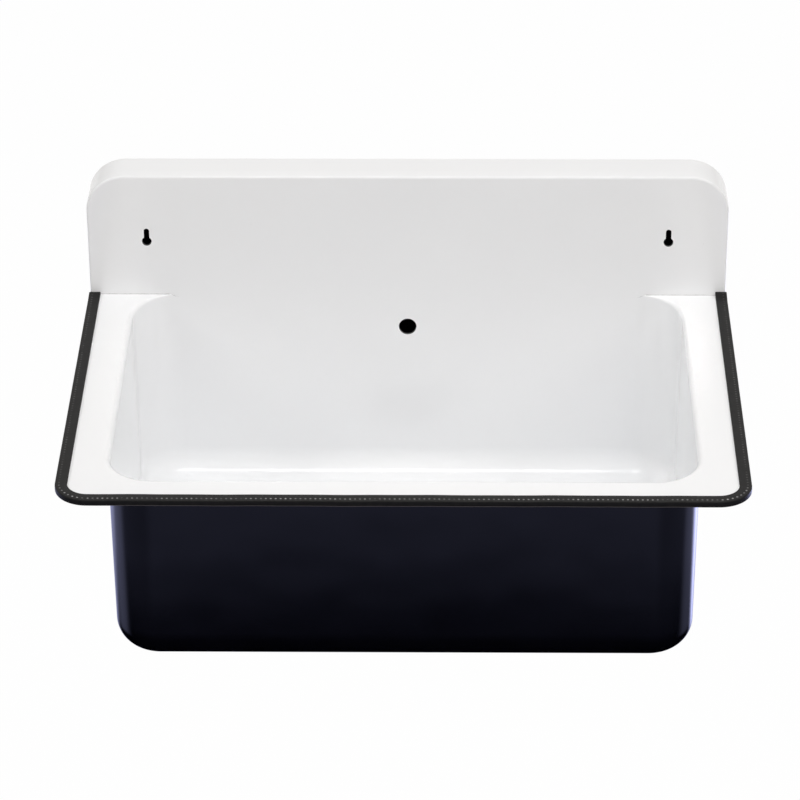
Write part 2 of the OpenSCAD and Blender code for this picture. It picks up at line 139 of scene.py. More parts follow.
class SinkFinish(PropertyGroup):
    """Colours of the finishes and the light."""

    white: colour("White", (0.864, 0.872, 0.884), "White enamel")
    navy: colour("Navy", (0.0009, 0.001, 0.0026), "Dark enamel outside")
    trim: colour("Trim", (0.0058, 0.0056, 0.0056), "Soft plastic of the trim")
    rubber: colour("Rubber", (0.012, 0.012, 0.0125), "Rubber of the plug and the seals")
    chrome: colour("Chrome", (0.72, 0.73, 0.75), "Plated metal of the waste")
    brass: colour("Brass", (0.63, 0.45, 0.18), "Brass of the centre screw")
    steel: colour("Steel", (0.42, 0.42, 0.43), "Steel strip in the trim")
    sky: number("Sky", 0.407, "Strength of the light from all round", min=0)
    shine: number("Shine", 0.8, "Strength of the sky in reflections", min=0)
    fill: number("Fill", 1.003, "Share of the soft lights above, in front and at the sides", min=0)
    lamp: number("Lamp", 14.0, "Power of the light overhead", min=0, unit="POWER")


QUARTER = np.pi / 2
NEAR = 1e-6  # metres, or the sine of a heading, that count as nothing
HOLE_BLOCK = 0.017  # half the square of the bowl's grid that gives way to the rings round the overflow hole


def ease(t):
    """Goes from 0 to 1 as three t squared minus two t cubed, and is held flat outside."""
    t = np.clip(t, 0, 1)
    return t * t * (3 - 2 * t)


def curve(a, p, b, t):
    """The curve (1-t)^2 a + 2t(1-t) p + t^2 b, which leaves a towards the corner p and ends in b."""
    return (1 - t) ** 2 * a + 2 * t * (1 - t) * p + t**2 * b


def laid(*runs):
    """Runs of values laid end to end. Each run mixes plain numbers with arrays of one length."""
    return np.concatenate([np.stack(np.broadcast_arrays(*run)) for run in runs], axis=1)


def grid_quads(rows, columns, closed=False, keep=None):
    """Quads between the rows and columns of points numbered row by row. A closed grid joins its last column to its
    first, and keep says which quads stay."""
    i, j = np.meshgrid(np.arange(rows - 1), np.arange(columns if closed else columns - 1), indexing="ij")
    k = (j + 1) % columns
    quads = np.stack([i * columns + j, i * columns + k, (i + 1) * columns + k, (i + 1) * columns + j], axis=-1)
    return quads[keep] if keep is not None else quads.reshape(-1, 4)


def rounded(corners, radii, steps=5):
    """A closed outline whose corners are rounded: each corner P becomes the curve from A to B towards P, where A
    and B lie one radius before and behind P, but no further than half of either side."""
    p = np.asarray(corners, float)
    before, after = np.roll(p, 1, axis=0) - p, np.roll(p, -1, axis=0) - p
    lb, la = np.linalg.norm(before, axis=1), np.linalg.norm(after, axis=1)
    reach = np.minimum(np.asarray(radii, float), 0.49 * np.minimum(lb, la))
    a = p + before * (reach / lb)[:, None]
    b = p + after * (reach / la)[:, None]
    return curve(a[:, None], p[:, None], b[:, None], np.linspace(0, 1, steps)[None, :, None]).reshape(-1, 2)


def band(inner, outer, low, high, radii):
    """The section of a ring: a rectangle of radius and height whose four corners are rounded."""
    return rounded([(inner, low), (outer, low), (outer, high), (inner, high)], radii)


def build(name, points, faces, materials, body, node, merge=NEAR, turn=False):
    """Makes a smooth-shaded piece from points and faces, merges doubled points, hangs the piece on its body and
    puts it in its node's place."""
    mesh = bpy.data.meshes.new(name)
    mesh.from_pydata(np.asarray(points).tolist(), [], [list(map(int, f)) for f in faces])
    work = bmesh.new()
    work.from_mesh(mesh)
    bmesh.ops.remove_doubles(work, verts=work.verts, dist=merge)
    if turn:
        bmesh.ops.recalc_face_normals(work, faces=work.faces)
    work.to_mesh(mesh)
    work.free()
    mesh.polygons.foreach_set("use_smooth", np.ones(len(mesh.polygons), dtype=bool))
    for finish in materials:
        mesh.materials.append(finish)
    piece = bpy.data.objects.new(name, mesh)
    bpy.context.scene.collection.objects.link(piece)
    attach(piece, body)
    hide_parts(node)
    return piece


def sharpen(piece, degrees=35.0):
    """Marks the open edges and those sharper than an angle, so that smooth shading stops there."""
    work = bmesh.new()
    work.from_mesh(piece.data)
    limit = np.radians(degrees)
    for edge in work.edges:
        edge.smooth = len(edge.link_faces) == 2 and edge.calc_face_angle(0.0) <= limit
    work.to_mesh(piece.data)
    work.free()


def thicken(piece, thickness):
    """Gives a sheet its thickness behind the visible side, with the second material there and on its edges."""
    wall = piece.modifiers.new("sheet", "SOLIDIFY")
    wall.thickness = thickness
    wall.offset = -1
    wall.use_even_offset = True
    wall.material_offset = 1
    wall.material_offset_rim = 1


def turned(outline, centre, segments):
    """Turns a closed outline of radius and height round an upright axis: x = r cos a, y = r sin a, z = h."""
    a = np.arange(segments) * 2 * np.pi / segments
    r, z = np.asarray(outline, float).T[:, :, None]
    points = np.stack(np.broadcast_arrays(centre[0] + r * np.cos(a), centre[1] + r * np.sin(a), z), axis=-1)
    quads = grid_quads(len(r) + 1, segments, closed=True) % (len(r) * segments)
    return points.reshape(-1, 3), quads


def joined(*parts):
    """Several lists of points and faces as one, with the face numbers moved on."""
    points, faces, start = [], [], 0
    for p, f in parts:
        points.append(np.asarray(p, float))
        faces.extend([[int(i) + start for i in face] for face in f])
        start += len(p)
    return np.concatenate(points), faces


def bar(centre, half_x, half_y, low, high, edge=0.0004):
    """A bar with its middle on an upright axis, from low to high, its edges rounded off in two steps."""
    low = np.array([centre[0] - half_x, centre[1] - half_y, low])
    high = np.array([centre[0] + half_x, centre[1] + half_y, high])
    mesh = bmesh.new()
    bmesh.ops.create_cube(mesh, size=1.0)
    for vert in mesh.verts:
        vert.co = (low + high) / 2 + np.array(vert.co) * (high - low)
    bmesh.ops.bevel(mesh, geom=mesh.edges[:], offset=edge, segments=2, affect="EDGES", profile=0.5)
    mesh.verts.ensure_lookup_table()
    points = np.array([v.co[:] for v in mesh.verts])
    faces = [[v.index for v in f.verts] for f in mesh.faces]
    mesh.free()
    return points, faces


class Shape:
    """Places and heights that the pieces share, worked out from the sizes."""

    CUP_ROOM = 0.003  # between the upper cup's end and the lower cup's floor
    EYE_HEIGHT = 0.0039  # of the eye's middle over the plug's top

    def __init__(self, scene):
        s, t, w = scene.sink_sheet, scene.sink_trim, scene.sink_waste
        self.s, self.t, self.w = s, t, w
        self.top = s.sheet / 2
        self.rim = self.top - s.splash_height
        self.face = -s.splash_depth
        self.floor = self.rim - s.bowl_height + s.sheet
        self.drain = (0.0, self.face - s.drain_inset)
        self.mouth_x = s.mouth / 2
        self.mouth_front = -s.depth + s.front_rim
        self.front_axis = (self.mouth_x - s.front_corner, self.mouth_front + s.front_corner)
        self.rear_axis = (self.mouth_x - s.rear_corner, self.face + s.rear_overrun - s.rear_corner)
        self.edge_x = s.width / 2 - t.web
        self.edge_front = -s.depth + t.web
        self.trim_axis = (s.width / 2 - t.corner, -s.depth + t.corner)
        self.recess = self.floor - s.recess_depth
        self.flange = self.recess + w.seal
        self.flange_top = self.flange + w.flange_sheet
        self.cup_end = self.flange - w.cup_height
        self.plug_top = self.flange_top + w.plug_rise
        self.plug_end = self.flange_top - w.plug_depth
        self.body_top = self.recess - s.sheet - w.seal
        self.body_floor = self.cup_end - self.CUP_ROOM
        self.tail_top = self.body_floor - w.body_wall
        self.eye = self.plug_top + self.EYE_HEIGHT

        # the cusp is the turn in a rear corner at which the flat rim between the lip and the face has run out
        turn = np.linspace(0.2, 1.55, 4000)
        spare = (self.face - self.rear_axis[1]) * (1 / np.sin(turn) - 1)
        self.cusp = float(turn[np.argmin(np.abs(spare - self.lip(turn)))])
        self.cusp_x = self.rear_axis[0] + (s.rear_corner - s.lip + self.lip(self.cusp)) * np.cos(self.cusp)

    def lip(self, turn):
        """Radius of the lip in a rear corner: whole at the side, it eases down to its rear share at eighty degrees."""
        return self.s.lip * (1 - (1 - self.s.rear_lip) * ease(np.asarray(turn) / np.radians(80)))

    def back(self, x, d):
        """Place of the back wall at a depth d below the rim. It is flush with the splashback down to a line that
        dips towards the middle, steps out by a tenth of a millimetre there and then leans in with the draft."""
        # the line is a hyperbola across the wall, and the lean sets in over a few millimetres
        across = np.clip(x, -0.19, 0.19) / 0.18
        line = 0.0317 - 0.0125 * np.sqrt(across**2 + 0.01)
        step, blend = 0.00013, 0.003
        past = (np.asarray(d) - line) / blend
        lean = np.tan(self.s.draft) * blend * np.log1p(np.exp(np.clip(past, -40, 40)))
        return self.face - lean - step * ease((past + 1) / 2)


def bowl_columns(shape):
    """The columns round the bowl, anticlockwise from the right end of the back wall. Gives the middle of each one's
    turn in x and y, its heading, its corner's plan radius and where it meets the rim's outer edge in x and y, and
    then the first and last column beside the overflow hole."""
    s = shape.s
    fx, fy = shape.front_axis
    rx, ry = shape.rear_axis
    outer = np.arctan2(shape.face - ry, shape.edge_x - rx)
    half = np.concatenate([np.linspace(0, outer, 17)[:-1], np.linspace(outer, shape.cusp, 14)[:-1],
                           np.linspace(shape.cusp, QUARTER, 13)])
    side = np.linspace(rx, HOLE_BLOCK, 20)
    hole = np.linspace(HOLE_BLOCK, -HOLE_BLOCK, 13)
    # the side walls' columns stand closer towards both corners
    along = ry + (fy - ry) * (1 - np.cos(np.linspace(0, np.pi, 27))) / 2
    x, y, heading, radius = laid(
        (np.concatenate([side[:-1], hole, -side[-2:0:-1]]), ry, QUARTER, s.rear_corner),
        (-rx, ry, np.pi - half[:0:-1], s.rear_corner),
        (-rx, along[:-1], np.pi, s.rear_corner),
        (-fx, fy, np.linspace(np.pi, 3 * QUARTER, 25)[:-1], s.front_corner),
        (np.linspace(-fx, fx, 47)[:-1], fy, 3 * QUARTER, s.front_corner),
        (fx, fy, np.linspace(3 * QUARTER, 2 * np.pi, 25)[:-1], s.front_corner),
        (rx, along[:0:-1], 2 * np.pi, s.rear_corner),
        (rx, ry, 2 * np.pi + half[:-1], s.rear_corner))
    # how far each column runs until it meets the rim's outer edge at the side, the face or the rim's front edge
    cos, sin = np.cos(heading), np.sin(heading)
    far = 10.0
    to_side = np.where(np.abs(cos) > NEAR, (shape.edge_x - np.abs(x)) / np.maximum(np.abs(cos), NEAR), far)
    to_back = np.where(sin > NEAR, (shape.face - y) / np.maximum(sin, NEAR), far)
    to_front = np.where(sin < -NEAR, (y - shape.edge_front) / np.maximum(-sin, NEAR), far)
    out = np.minimum(np.minimum(to_side, to_back), to_front)
    # in the rim's two front corners it ends on their arc
    cx, cy = shape.trim_axis
    arc = shape.edge_x - cx
    in_corner = (np.abs(x + out * cos) > cx) & (y + out * sin < cy)
    px, py = np.abs(x) - cx, y - cy
    b = px * np.abs(cos) + py * sin
    out = np.where(in_corner, np.sqrt(np.maximum(b * b - (px * px + py * py - arc * arc), 0)) - b, out)
    beside = (len(side) - 1, len(side) + len(hole) - 2)
    return x, y, heading, radius, x + out * cos, y + out * sin, beside


def basin_surface(shape):
    """The basin's white side as one grid. Its rows run from the rim's outer edge over the lip, down the wall, round
    the floor's fillet and across the floor into the drain recess, and its columns are those of bowl_columns."""
    s = shape.s
    x, y, heading, radius, outer_x, outer_y, (j0, j1) = bowl_columns(shape)
    cos, sin = np.cos(heading), np.sin(heading)
    wall = radius - s.lip
    rear = sin > NEAR
    foot = s.bowl_height - s.sheet - s.floor_round
    lean = np.tan(s.draft)
    # the lip's radius, and the depth at which the surface starts: at the rim, on the splashback's face or one
    # sheet down
    turn = np.arcsin(np.clip(sin, 0, 1))
    lip = np.where(rear, shape.lip(turn), s.lip)
    reach = np.where(rear, (shape.face - y) * (1 / np.maximum(sin, 1e-3) - 1), 1.0)
    has_rim = reach > lip - NEAR
    meets = lip - np.sqrt(np.maximum(2 * lip * reach - reach**2, 0))
    past = ease((turn - shape.cusp) / np.radians(10))
    start = np.where(has_rim, 0.0, np.maximum(meets, s.sheet * past))
    rows = []

    def row(px, py, pz):
        """Adds a row of points."""
        rows.append(np.stack(np.broadcast_arrays(px, py, pz), axis=-1))

    def wall_row(offset, depth, extra):
        """Adds a row at an offset from the turn's middle and a depth below the rim. In the rear corners it reaches as
        far as the back wall plus an extra, cut off at that wall."""
        px = x + offset * cos
        back = shape.back(px, depth)
        row(px, np.where(rear, np.minimum(y + (back - y + extra) * sin, back), y + offset * sin), shape.rim - depth)

    # the rim, from its outer edge to the lip
    edge_x = x + (wall + lip) * cos
    edge_y = np.where(rear, np.minimum(y + (shape.face - y + lip) * sin, shape.face), y + (wall + lip) * sin)
    for f in (0.0, 0.22, 0.45, 0.7, 0.9, 0.985):
        row(outer_x + (edge_x - outer_x) * f, outer_y + (edge_y - outer_y) * f, shape.rim)
    rim_rows = len(rows)
    # the lip
    under = s.lip + 0.001
    for deep in (*[lip * (1 - np.cos(a)) for a in np.linspace(0, QUARTER, 11)], (lip + under) / 2, under):
        depth = start + (1 - start / under) * deep
        spread = lip - np.sqrt(np.maximum(lip**2 - np.maximum(lip - depth, 0) ** 2, 0))
        wall_row(wall + spread, depth, spread)
    # the walls above, beside and below the overflow hole
    hole_z = s.overflow_drop
    above = np.linspace(under, hole_z - HOLE_BLOCK, 4)[1:]
    beside = np.linspace(hole_z - HOLE_BLOCK, hole_z + HOLE_BLOCK, 13)[1:]
    below = np.linspace(hole_z + HOLE_BLOCK, foot, 22)[1:]
    i0 = len(rows) + len(above) - 1
    i1 = i0 + len(beside)
    for depth in np.concatenate([above, beside, below]):
        wall_row(wall - (depth - s.lip) * lean, depth, 0.0)
    # the fillet between the walls and the floor
    bend = s.floor_round
    base = wall - (foot - s.lip) * lean - bend * np.cos(s.draft)
    back_foot = shape.back(x, foot)
    for a in np.linspace(-s.draft, -QUARTER, 17)[1:]:
        off = base + bend * np.cos(a)
        py = y + (back_foot - y - bend * (np.cos(s.draft) - np.cos(a))) * sin
        row(x + off * cos, np.where(rear, py, y + off * sin), shape.rim - foot + bend * np.sin(a))
    # the floor, as far as the rounded edge of the drain recess
    edge_x, edge_y = rows[-1][:, 0], rows[-1][:, 1]
    drain_x, drain_y = shape.drain
    # each rounded edge of the recess reaches b along the level and k along and down the slope of 45 degrees
    sunk, b = s.recess_depth, s.recess_depth * 0.2486
    k = b * np.sqrt(0.5)
    top_r, low_r, hole_r = s.recess / 2 + sunk, s.recess / 2, s.drain_hole / 2
    angle = np.arctan2(edge_y - drain_y, edge_x - drain_x)
    ring_x, ring_y = np.cos(angle), np.sin(angle)
    inner_x, inner_y = drain_x + ring_x * (top_r + b), drain_y + ring_y * (top_r + b)
    for f in (0.015, 0.1, 0.2, 0.32, 0.45, 0.58, 0.7, 0.8, 0.9, 0.97):
        row(edge_x + (inner_x - edge_x) * f, edge_y + (inner_y - edge_y) * f, shape.floor)
    # the recess: its two rounded edges, with the slope between them, and its flat bottom
    t = np.linspace(0, 1, 6)[:, None]
    slope = [curve(*np.array([(top_r + b, 0), (top_r, 0), (top_r - k, -k)]), t),
             curve(*np.array([(low_r + k, k - sunk), (low_r, -sunk), (low_r - b, -sunk)]), t),
             np.array([(low_r - 2 * b, -sunk), (hole_r + 0.001, -sunk), (hole_r, -sunk)])]
    for r, dz in np.concatenate(slope):
        row(drain_x + ring_x * r, drain_y + ring_y * r, shape.floor + dz)
    points = np.stack(rows)
    keep = np.ones((len(rows) - 1, len(x)), dtype=bool)
    keep[:rim_rows, ~has_rim | ~np.roll(has_rim, -1)] = False
    keep[i0:i1, j0:j1] = False
    faces = grid_quads(len(rows), len(x), closed=True, keep=keep)
    # the overflow hole: rings from the cut block's border to the circle
    down, across = np.arange(i0, i1 + 1), np.arange(j0, j1 + 1)
    border = np.concatenate([points[i0, across[:-1]], points[down[:-1], j1], points[i1, across[:0:-1]],
                             points[down[:0:-1], j0]])
    flat = np.stack([border[:, 0], shape.rim - border[:, 2] - hole_z], axis=1)
    circle = flat / np.linalg.norm(flat, axis=1)[:, None] * s.overflow / 2
    rings = np.stack([flat + (circle - flat) * f for f in (0, 0.25, 0.5, 0.72, 0.9, 1.0)])
    px, depth = rings[..., 0], rings[..., 1] + hole_z
    patch = np.stack([px, shape.back(px, depth), shape.rim - depth], axis=-1)
    patch_faces = grid_quads(len(rings), len(border), closed=True)
    return joined((points.reshape(-1, 3), faces), (patch.reshape(-1, 3), patch_faces))


def splash_surface(shape):
    """The splashback's white side: its rows run from the wall edge over the return and the fold onto the face, its
    columns up one side, along the top and down the other, and the flat face within is triangulated round the
    keyholes."""
    s = shape.s
    cx, cz = s.width / 2 - s.splash_inset - s.splash_corner, shape.top - s.splash_corner
    up = np.linspace(shape.rim - s.sheet, cz, 9)[:-1]
    turn = np.linspace(0, QUARTER, 25)
    px, pz, heading = laid((cx, up, 0.0), (cx, cz, turn), (np.linspace(cx, -cx, 33)[1:-1], cz, QUARTER),
                           (-cx, cz, QUARTER + turn), (-cx, up[::-1], np.pi))
    # the section, as the inset from the outer edge and the place in front of the wall
    a = np.linspace(0, QUARTER, 9)
    bend = np.stack([s.fold * (1 - np.cos(a)), s.fold * (1 - np.sin(a)) - s.splash_depth], axis=1)
    section = np.concatenate([[(0.0, 0.0), (0.0, -0.0004), (0.0, -0.010), (0.0, -0.020)], bend,
                              [(s.fold + 0.0006, -s.splash_depth), (s.fold + 0.003, -s.splash_depth)]])
    inset, py = section.T[:, :, None]
    r = s.splash_corner - inset
    points = np.stack(np.broadcast_arrays(px + r * np.cos(heading), py, pz + r * np.sin(heading)), axis=-1)
    # the face's outline and the two keyholes
    r, w = s.entry_width / 2, s.slot_width / 2
    rise, height = s.keyhole_rise - w, shape.rim + s.keyhole_height
    opening = np.arcsin(w / r)
    low = np.linspace(QUARTER + opening, 5 * QUARTER - opening, 40)
    high = np.linspace(0, np.pi, 15)
    keyhole = laid((r * np.cos(low), r * np.sin(low)), (w * np.cos(high), rise + w * np.sin(high))).T
    loops = [points[-1][:, [0, 2]], *[keyhole + (side * s.keyhole_spacing / 2, height) for side in (-1, 1)]]
    edges, start = [], 0
    for loop in loops:
        m = len(loop)
        edges.extend((start + i, start + (i + 1) % m) for i in range(m))
        start += m
    flat, _, tris, _, _, _ = delaunay_2d_cdt(list(map(tuple, np.concatenate(loops))), edges, [], 0, 1e-7)
    flat = np.array([v[:] for v in flat])
    tris = np.array([t for t in tris if len(t) == 3])
    mid = flat[tris].mean(axis=1)
    kx, kz = np.abs(mid[:, 0]) - s.keyhole_spacing / 2, mid[:, 1] - height
    in_hole = (np.hypot(kx, kz) < r) | ((np.abs(kx) < w) & (kz > 0) & (kz < rise)) | (np.hypot(kx, kz - rise) < w)
    tris = tris[~in_hole]
    area = np.cross(flat[tris[:, 1]] - flat[tris[:, 0]], flat[tris[:, 2]] - flat[tris[:, 0]])
    tris[area < 0] = tris[area < 0][:, ::-1]
    plate = np.stack([flat[:, 0], np.full(len(flat), shape.face), flat[:, 1]], axis=1)
    return joined((points.reshape(-1, 3), grid_quads(*points.shape[:2])), (plate, tris))


def trim_section(shape):
    """The trim's section as distances from the corner's axis and heights over the rim sheet's middle, and how far
    round it each point lies. Five points make each corner, and the third and fourth corners are the outer edges."""
    s, t = shape.s, shape.t
    out, inn, h, slot = t.corner, t.corner - t.width, t.height / 2, s.sheet / 2 + t.slack
    web = t.corner - t.web
    section = rounded([(inn, slot), (inn, h), (out, h), (out, -h), (inn, -h), (inn, -slot), (web, -slot), (web, slot)],
                      [0.0003, 0.0006, t.edge, t.edge, 0.0006, 0.0003, 0.0001, 0.0001])
    return section, np.concatenate([[0], np.cumsum(np.hypot(*np.diff(section, axis=0).T))])


def trim_surface(shape):
    """The trim's channel section, carried from the right end round the rim to the left end. Two capped ends close
    it. Also gives how far along the trim each section stands and how far round it each point lies."""
    s, t = shape.s, shape.t
    cx, cy = shape.trim_axis
    section, around = trim_section(shape)
    end = shape.face - t.gap
    close = np.array([0, 0.0006, 0.0016, 0.003, 0.005, 0.0075, 0.0105, 0.014])
    side = np.concatenate([end - close, np.linspace(end - 0.02, cy, 30)])
    turn = np.linspace(0, -QUARTER, 25)[1:]
    x, y, heading = laid((cx, side, 0.0), (cx, cy, turn), (np.linspace(cx, -cx, 60)[1:], cy, -QUARTER),
                         (-cx, cy, turn - QUARTER), (-cx, side[-2::-1], -np.pi))
    px = x[:, None] + section[:, 0] * np.cos(heading)[:, None]
    py = y[:, None] + section[:, 0] * np.sin(heading)[:, None]
    # the upper leg stands up a little at both ends, the right one more
    near = ease(1 + (y - end) / 0.012)
    upper = ease((section[:, 1] - s.sheet / 2 - t.slack + 0.0002) / 0.001)
    lift = (near * np.where(x > 0, t.lift, 0.35 * t.lift))[:, None] * upper
    # a slight unevenness of the pressed-on channel
    along = np.concatenate([[0], np.cumsum(np.hypot(np.diff(px.mean(axis=1)), np.diff(py.mean(axis=1))))])
    uneven = (0.00008 * np.sin(along * 61) + 0.00006 * np.sin(along * 143 + 1))[:, None]
    pz = shape.rim - s.sheet / 2 + section[:, 1] + lift + uneven
    rows, cols = px.shape
    caps = [list(range(cols)), list(range((rows - 1) * cols, rows * cols))]
    quads = grid_quads(rows, cols, closed=True).tolist()
    return np.stack([px, py, pz], axis=-1).reshape(-1, 3), quads + caps, along, around


class Nodes:
    """Adds shader nodes to a tree. Inputs are given by name, as a number, a colour or another node's socket."""

    def __init__(self, tree):
        self.tree = tree

    def __call__(self, kind, inputs=None, **settings):
        node = self.tree.nodes.new(kind)
        for key, value in settings.items():
            setattr(node, key, value)
        for key, value in (inputs or {}).items():
            if isinstance(value, bpy.types.NodeSocket):
                self.tree.links.new(value, node.inputs[key])
            else:
                node.inputs[key].default_value = value
        return node

    def maths(self, operation, a, b=0.0, c=0.0, clamp=False):
        """One step of arithmetic."""
        return self("ShaderNodeMath", {0: a, 1: b, 2: c}, operation=operation, use_clamp=clamp).outputs[0]

    def mix(self, share, a, b):
        """A colour between two, by share."""
        return self("ShaderNodeMix", {0: share, 6: a, 7: b}, data_type="RGBA").outputs[2]

    def hypot(self, a, b):
        """The root of a squared plus b squared."""
        return self.maths("SQRT", self.maths("ADD", self.maths("MULTIPLY", a, a), self.maths("MULTIPLY", b, b)))

    def remap(self, value, low, high, start=0.0, end=1.0, smooth=False):
        """A value carried from low and high to start and end, and held there outside, in a line or eased."""
        inputs = {"Value": value, "From Min": low, "From Max": high, "To Min": start, "To Max": end}
        kind = "SMOOTHSTEP" if smooth else "LINEAR"
        return self("ShaderNodeMapRange", inputs, interpolation_type=kind).outputs[0]

    def noise(self, where, scale, detail=2.0, roughness=0.5):
        """Noise from 0 to 1."""
        inputs = {"Vector": where, "Scale": scale, "Detail": detail, "Roughness": roughness}
        return self("ShaderNodeTexNoise", inputs).outputs[0]

    def split(self, vector):
        """A vector's x, y and z."""
        return self("ShaderNodeSeparateXYZ", {0: vector}).outputs

    def use(self, tree, inputs):
        """Places a node group and gives its output."""
        return self("ShaderNodeGroup", inputs, node_tree=tree).outputs[0]

    def link(self, output, socket):
        """Joins an output to a socket."""
        self.tree.links.new(output, socket)


FLOAT, VECTOR = "NodeSocketFloat", "NodeSocketVector"


def group(name, inputs, output, fill):
    """A shader node group with named sockets, made once and filled by a function that gives its output's value."""
    if name in bpy.data.node_groups:
        return bpy.data.node_groups[name]
    tree = bpy.data.node_groups.new(name, "ShaderNodeTree")
    for label, kind, value in inputs:
        socket = tree.interface.new_socket(label, in_out="INPUT", socket_type=kind)
        if value is not None:
            socket.default_value = value
    tree.interface.new_socket(output, in_out="OUTPUT", socket_type=FLOAT)
    start, end = tree.nodes.new("NodeGroupInput"), tree.nodes.new("NodeGroupOutput")
    add = Nodes(tree)
    add.link(fill(add, start.outputs), end.inputs[output])
    return tree


def enamel_relief():
    """Relief of fired enamel: long waves from the pressing and the fine skin of the melt, both heights in metres."""
    def fill(add, given):
        wave = add.noise(given["Vector"], given["Wave Scale"], detail=1.0)
        skin = add.noise(given["Vector"], given["Skin Scale"])
        return add.maths("MULTIPLY_ADD", skin, given["Skin Height"], add.maths("MULTIPLY", wave, given["Wave Height"]))
    return group("enamel relief", [("Vector", VECTOR, None), ("Wave Scale", FLOAT, 14.0),
                                   ("Wave Height", FLOAT, 0.0002), ("Skin Scale", FLOAT, 500.0),
                                   ("Skin Height", FLOAT, 0.000002)], "Height", fill)


def speckle():
    """Scattered round specks: 1 within a share of each cell, broken up by noise."""
    def fill(add, given):
        inputs = {"Vector": given["Vector"], "Scale": given["Scale"], "Randomness": 1.0}
        cells = add("ShaderNodeTexVoronoi", inputs).outputs["Distance"]
        rare = add.maths("GREATER_THAN", add.noise(given["Vector"], 60.0), given["Threshold"])
        return add.maths("MULTIPLY", add.maths("LESS_THAN", cells, given["Size"]), rare)
    return group("speckle", [("Vector", VECTOR, None), ("Scale", FLOAT, 300.0), ("Size", FLOAT, 0.15),
                             ("Threshold", FLOAT, 0.6)], "Mask", fill)


def mottle():
    """Slow change of tone over a surface, from 0 to 1."""
    def fill(add, given):
        return add.remap(add.noise(given["Vector"], given["Scale"], detail=3.0, roughness=0.55), 0.3, 0.7)
    return group("mottle", [("Vector", VECTOR, None), ("Scale", FLOAT, 20.0)], "Value", fill)


def material(name):
    """An empty material with its Principled shader. Returns the material, its node adder, the shader's inputs and
    Object coordinates."""
    made = bpy.data.materials.new(name)
    made.use_nodes = True
    add = Nodes(made.node_tree)
    return made, add, made.node_tree.nodes["Principled BSDF"].inputs, add("ShaderNodeTexCoord").outputs["Object"]


def mottled(add, where, scale):
    """A slow change of tone at a scale."""
    return add.use(mottle(), {"Vector": where, "Scale": scale})


def specked(add, where, scale, size, threshold):
    """A mask of specks at a scale."""
    return add.use(speckle(), {"Vector": where, "Scale": scale, "Size": size, "Threshold": threshold})


def relief(add, where, waves, skin):
    """The height in metres of waves and a skin, each given as a scale and a height."""
    return add.use(enamel_relief(), {"Vector": where, "Wave Scale": waves[0], "Wave Height": waves[1],
                                     "Skin Scale": skin[0], "Skin Height": skin[1]})


def bump(add, shader, height):
    """Turns a height in metres into the shader's normal."""
    add.link(add("ShaderNodeBump", {"Height": height, "Distance": 1.0}).outputs[0], shader["Normal"])


def tone(colour, share=1.0):
    """A colour times a share, no lighter than white, with full alpha."""
    return (*np.minimum(np.multiply(tuple(colour), share), 1.0).tolist(), 1.0)


def white_enamel(finish, shape):
    """White enamel, with a faint ragged line where the rim meets the splashback, a few dark specks, and on the
    splashback's fold a duller glaze and a little painted shade."""
    made, add, shader, where = material("white enamel")
    base = add.mix(mottled(add, where, 9.0), tone(finish.white), tone(finish.white, (0.985, 0.985, 0.987)))
    # the line lies where the rim meets the face, beyond the bowl's mouth
    x, y, z = add.split(where)
    dy, dz = add.maths("SUBTRACT", y, shape.face), add.maths("SUBTRACT", z, shape.rim)
    width = add.remap(add.noise(where, 420.0, detail=3.0), 0.35, 0.75, 0.0003, 0.0008)
    line = add.maths("LESS_THAN", add.hypot(dy, dz), width)
    beyond = add.maths("GREATER_THAN", add.maths("ABSOLUTE", x), shape.cusp_x)
    seam = add.maths("MULTIPLY", add.maths("MULTIPLY", line, beyond), 0.42)
    lined = add.mix(seam, base, (0.4, 0.38, 0.38, 1))
    specks = add.maths("MULTIPLY", specked(add, where, 95.0, 0.035, 0.66), 0.35)
    spotted = add.mix(specks, lined, (0.3, 0.28, 0.26, 1))
    # on the splashback's fold the glaze reflects less, and its colour is darkened a little: painted shade that narrows
    # the fold's bright line
    turn = add.maths("DIVIDE", dy, shape.s.fold)
    fold_shade_and_dull_glaze = add.maths("MULTIPLY", add.maths("GREATER_THAN", turn, 0.04), add.maths("LESS_THAN", turn, 0.8))
    fold_shade_and_dull_glaze = add.maths("MULTIPLY", fold_shade_and_dull_glaze, add.maths("GREATER_THAN", dz, 0.004))
    # painted shade: the fold's colour is mixed a little towards dark grey
    add.link(add.mix(add.maths("MULTIPLY", fold_shade_and_dull_glaze, 0.05), spotted, (0.1, 0.1, 0.1, 1)), shader["Base Color"])
    shader["Roughness"].default_value = 0.11
    add.link(add.maths("MULTIPLY_ADD", fold_shade_and_dull_glaze, -0.45, 0.5), shader["Specular IOR Level"])
    bump(add, shader, relief(add, where, (11.0, 0.00007), (420.0, 0.0000016)))
    return made


def navy_enamel(finish):
    """Near-black enamel of the outside."""
    made, add, shader, where = material("navy enamel")
    base = add.mix(mottled(add, where, 30.0), tone(finish.navy), tone(finish.navy, (1.6, 1.6, 1.5)))
    specks = add.maths("MULTIPLY", specked(add, where, 260.0, 0.06, 0.6), 0.5)
    add.link(add.mix(specks, base, (0.02, 0.02, 0.03, 1)), shader["Base Color"])
    shader["Roughness"].default_value = 0.15
    bump(add, shader, relief(add, where, (16.0, 0.0004), (600.0, 0.000003)))
    return made


